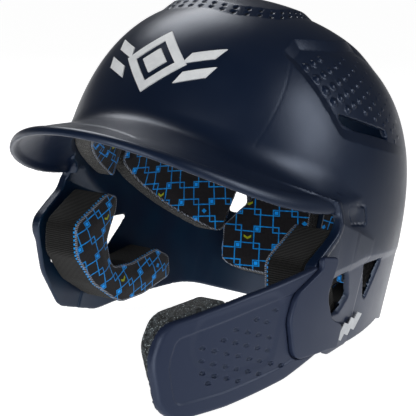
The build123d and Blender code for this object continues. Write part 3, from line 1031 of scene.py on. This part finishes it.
# ---------------------------------------------------------------- liner
PAD_BACK = WALL + 0.3
PAD_THICKNESS = 11.0
FACING = 1.4
EAR_PAD_BACK = WALL + 3.0
FAR = 200
EAR_FRONT_CORNERS = [
    (56, -25, 4),
    (40, -23.5, 6),
    (18, -38, 10),
    (-4, -46, 9),
    (-17, -30, 12),
    (-15, -10, 12),
    (-17, -1, 4),
    (-28, -2, 5),
    (-52, -29, 8),
    (-43, -47, 12),
]
EAR_PADS = {
    1: rounded(EAR_FRONT_CORNERS + [(-17, -59, 16), (10, -56, 16), (42, -40, 20), (61, -34, 4)]),
    -1: rounded(EAR_FRONT_CORNERS + [(-18, -60, 20), (14, -66, 24), (38, -55, 30), (63, -37, 4)]),
}
FRONT_PAD = rounded([(-6, 13, 3), (-40, 18, 0), (-72, 23, 0), (-130, 34, 0), (-130, 62, 0), (-6, 60, 3)])
SIDE_PAD = rounded([(0, 52, 4), (0, 25, 6), (24, 17, 0), (55, 9, 0), (94, 1, 5), (96, 58, 5), (10, 56, 4)])
REAR_PAD = rounded([(5, 46, 4), (5, 0, 8), (14, -19, 8), (54, -19, 8), (57, 8, 6), (46, 30, 6), (44, 46, 3)])
CROWN_PAD_RADIUS = 42.0


# The print on the dome's pads: the radius that it's laid round, and its turn on each pad, in degrees.
CLOTH_RADIUS = 96.0
PRINT_TURNS = {"side_pad": 17.0, "rear_pad": 10.0, "front_pad": 0.0}


def along_outline(points, a, b):
    """How far round a closed outline the nearest place lies."""
    nearest = np.full(np.shape(a), np.inf)
    along = np.zeros(np.shape(a))
    start = 0.0
    for i in range(len(points)):
        (a0, b0), (a1, b1) = points[i - 1], points[i]
        length = np.hypot(a1 - a0, b1 - b0)
        t = np.clip(((a - a0) * (a1 - a0) + (b - b0) * (b1 - b0)) / length**2, 0, 1)
        away = (a - a0 - t * (a1 - a0)) ** 2 + (b - b0 - t * (b1 - b0)) ** 2
        along = np.where(away < nearest, start + t * length, along)
        nearest = np.minimum(nearest, away)
        start += length
    return along


def dome_cloth(outline, turn):
    """Print coordinates round the dome, turned by an angle, and the distance in from a pad's edge."""

    def detail(x, y, z):
        around = np.abs(np.arctan2(x, DOME_Y - y)) * CLOTH_RADIUS
        across, along = around * cos(turn) + z * sin(turn), z * cos(turn) - around * sin(turn)
        return {"cloth": (across, along, -outline(x, y, z))}

    return detail


def crown_cloth(x, y, z):
    """The crown pad's print lies flat, as seen from above."""
    return {"cloth": (x, y, -crown_outline(x, y))}


def ear_cloth(side_sign):
    """The ear pads' print runs slantwise."""

    def detail(x, y, z):
        edge = -outline_field(EAR_PADS[side_sign], y, z)
        return {"cloth": ((y + z) * sqrt(0.5), (z - y) * sqrt(0.5), edge)}

    return detail


def ear_ribs(side_sign):
    """The ribs run across the band, all the way round an ear pad."""

    def detail(x, y, z):
        return {"cloth": (along_outline(EAR_PADS[side_sign], y, z), x, np.abs(x) - EAR_PAD_INSIDE - FACING)}

    return detail


def liner_layer(outline, inset, thickness, swell=0.0, round_off=1.0):
    """A field for one layer of a pad against the dome, between two insets."""

    def field(x, y, z):
        side = outline(x, y, z)
        puff = swell * smooth_step(-side, 0, 9)
        outside = dome_field(x, y, z, inset)
        inside = -dome_field(x, y, z, inset + thickness) - puff
        return soft_max(soft_max(outside, inside, round_off), side, round_off)

    return field


def ear_layer(inside_x, outside_x, side_sign, grow, round_off, swell=0.0):
    """A field for one layer of an ear pad, between two distances from the middle."""

    def field(x, y, z):
        across = x * side_sign
        side = outline_field(EAR_PADS[side_sign], y, z) - grow
        puff = swell * smooth_step(-side, 0, 11)
        room = base_field(across, y, z) + EAR_PAD_BACK
        slab = np.maximum(inside_x - puff - across, across - outside_x)
        return soft_max(soft_max(slab, side, round_off), room, 0.6)

    return field


def make_liner(name, outline, low, high, mirrored):
    """Foam and fabric facing of one pad, or of a pair."""
    for sign in (1, -1) if mirrored else (1,):
        prefix = "" if not mirrored else ("left_" if sign > 0 else "right_")

        def seen(x, y, z, sign=sign):
            return outline(x * sign, y, z)

        box_low, box_high = list(low), list(high)
        if sign < 0:
            box_low[0], box_high[0] = -high[0], -low[0]
        foam = make_piece(
            prefix + name + "_core",
            liner_layer(seen, PAD_BACK, PAD_THICKNESS, 0.0, 1.5),
            box_low,
            box_high,
            fine * 1.4,
            foam_grey,
            "helmet",
            [prefix + name + "_foam"],
        )
        face = make_piece(
            prefix + name + "_fabric",
            liner_layer(seen, PAD_BACK + PAD_THICKNESS, FACING, 2.0, 0.7),
            box_low,
            box_high,
            fine,
            print_fabric,
            "helmet",
            [prefix + name + "_face"],
            detail=crown_cloth if name == "crown_pad" else dome_cloth(seen, radians(PRINT_TURNS[name])),
        )


# A pair's pads keep to their own side of the middle, and the rear pads to the back.
def side_pad(x, y, z):
    return np.maximum(outline_field(SIDE_PAD, y, z), 2.0 - x)


def rear_pad(x, y, z):
    return np.maximum(outline_field(REAR_PAD, x, z), 60 - y)


def front_pad(x, y, z):
    return outline_field(FRONT_PAD, y, z)


def crown_outline(x, y):
    return ellipse_field(x, y - DOME_Y, CROWN_PAD_RADIUS, CROWN_PAD_RADIUS * 1.2)


def crown_pad(x, y, z):
    return np.maximum(crown_outline(x, y), 40 - z)


make_liner("side_pad", side_pad, (38, -2, -1), (100, 98, 60), True)
make_liner("rear_pad", rear_pad, (3, 75, -21), (60, 134, 48), True)
make_liner("front_pad", front_pad, (-100, -114, 10), (100, -4, 64), False)
make_liner("crown_pad", crown_pad, (-44, -42, 85), (44, 62, 132), False)
for sign, prefix in ((1, "left"), (-1, "right")):
    low = (66, -54, -68) if sign > 0 else (-100, -54, -68)
    high = (100, 65, 3) if sign > 0 else (-66, 65, 3)
    band = ear_layer(EAR_PAD_INSIDE + FACING, FAR, sign, 0.0, 1.0)
    face = ear_layer(EAR_PAD_INSIDE, EAR_PAD_INSIDE + FACING, sign, 0.3, 0.7, 2.4)
    cushion = make_piece(
        prefix + "_ear_wall",
        band,
        low,
        high,
        fine,
        band_fabric,
        "helmet",
        [prefix + "_ear_band", prefix + "_ear_foam"],
        detail=ear_ribs(sign),
    )
    cover = make_piece(
        prefix + "_ear_fabric",
        face,
        low,
        high,
        fine,
        print_fabric,
        "helmet",
        [prefix + "_ear_face"],
        detail=ear_cloth(sign),
    )


# ---------------------------------------------------------------- stage
def painted_flag_shade(tree, direction):
    """1 in most directions, dimmer far out towards one side: painted shade on the floor's glow and on the
    sky, as though a dark flag stood there.
    """
    unit = tree.nodes.new("ShaderNodeVectorMath")
    unit.operation = "NORMALIZE"
    tree.links.new(direction, unit.inputs[0])
    along = tree.nodes.new("ShaderNodeVectorMath")
    along.operation = "DOT_PRODUCT"
    tree.links.new(unit.outputs[0], along.inputs[0])
    along.inputs[1].default_value = (sin(FLAG_AZIMUTH), -cos(FLAG_AZIMUTH), 0)
    distance = tree.nodes.new("ShaderNodeVectorMath")
    distance.operation = "DOT_PRODUCT"
    tree.links.new(direction, distance.inputs[0])
    distance.inputs[1].default_value = along.inputs[1].default_value
    beyond = Number(tree, distance.outputs["Value"]).band(*FLAG_START)
    return Number(tree, along.outputs["Value"]).band(*FLAG_SPREAD) * beyond * -FLAG_SHADE + 1.0


def make_stage():
    """A wide pale floor that glows a little, under a dim studio with a bright horizon."""
    reach = 40.0
    mesh = bpy.data.meshes.new("floor")
    corners = [(-reach, -reach, 0), (reach, -reach, 0), (reach, reach, 0), (-reach, reach, 0)]
    mesh.from_pydata(corners, [], [(0, 1, 2, 3)])
    floor = bpy.data.objects.new("floor", mesh)
    bpy.context.scene.collection.objects.link(floor)
    material, tree, shader = new_material("floor", (0.5, 0.5, 0.5), 0.9, specular=0.0)
    shader.inputs["Emission Color"].default_value = (1, 1, 1, 1)
    # Painted shadow: the floor's glow is dimmed far out on one side, where no flag stands.
    shaded = painted_flag_shade(tree, tree.nodes.new("ShaderNodeTexCoord").outputs["Object"])
    join(tree, shaded * FLOOR_GLOW, shader.inputs["Emission Strength"])
    mesh.materials.append(material)
    world = bpy.data.worlds.new("world")
    bpy.context.scene.world = world
    world.use_nodes = True
    tree = world.node_tree
    split = tree.nodes.new("ShaderNodeSeparateXYZ")
    direction = tree.nodes.new("ShaderNodeTexCoord").outputs["Generated"]
    tree.links.new(direction, split.inputs[0])
    height = Number(tree, split.outputs[2])
    shaded = painted_flag_shade(tree, direction)
    background = tree.nodes["Background"]
    background.inputs["Color"].default_value = (1, 1, 1, 1)
    horizon = height.band(HORIZON_TOP, 0.0) * (HORIZON_GLOW - STUDIO_GLOW)
    join(tree, horizon * shaded + STUDIO_GLOW, background.inputs["Strength"])


def soft_box(name, azimuth, elevation, distance, width, height, power, gloss=1.0):
    """A rectangular studio light facing the helmet from a compass direction; 0 is the brim's side."""
    turn, lift = radians(azimuth), radians(elevation)
    away = Vector((sin(turn) * cos(lift), -cos(turn) * cos(lift), sin(lift)))
    data = bpy.data.lights.new(name, "AREA")
    data.shape = "RECTANGLE"
    data.size = width
    data.size_y = height
    data.energy = power
    data.specular_factor = gloss
    light = bpy.data.objects.new(name, data)
    light.location = middle + away * distance
    light.rotation_euler = away.to_track_quat("Z", "Y").to_euler()
    bpy.context.scene.collection.objects.link(light)


FLOOR_GLOW = 0.95
HORIZON_GLOW = 0.7
HORIZON_TOP = 0.14
FLAG_AZIMUTH = radians(128)
FLAG_SHADE = 0.78
FLAG_START = (0.22, 0.42)
FLAG_SPREAD = (0.4, 0.85)
STUDIO_GLOW = 0.06
middle = (Vector(cad_box[0]) + Vector(cad_box[1])) / 2
make_stage()
soft_box("side_light", 106, 27, 1.3, 0.36, 0.6, 5.5)
soft_box("back_light", -126, 52, 1.3, 0.7, 0.7, 8.0)
soft_box("front_fill", 20, 12, 1.6, 1.0, 0.8, 12.0, 0.0)
bpy.context.scene.view_settings.view_transform = "Standard"
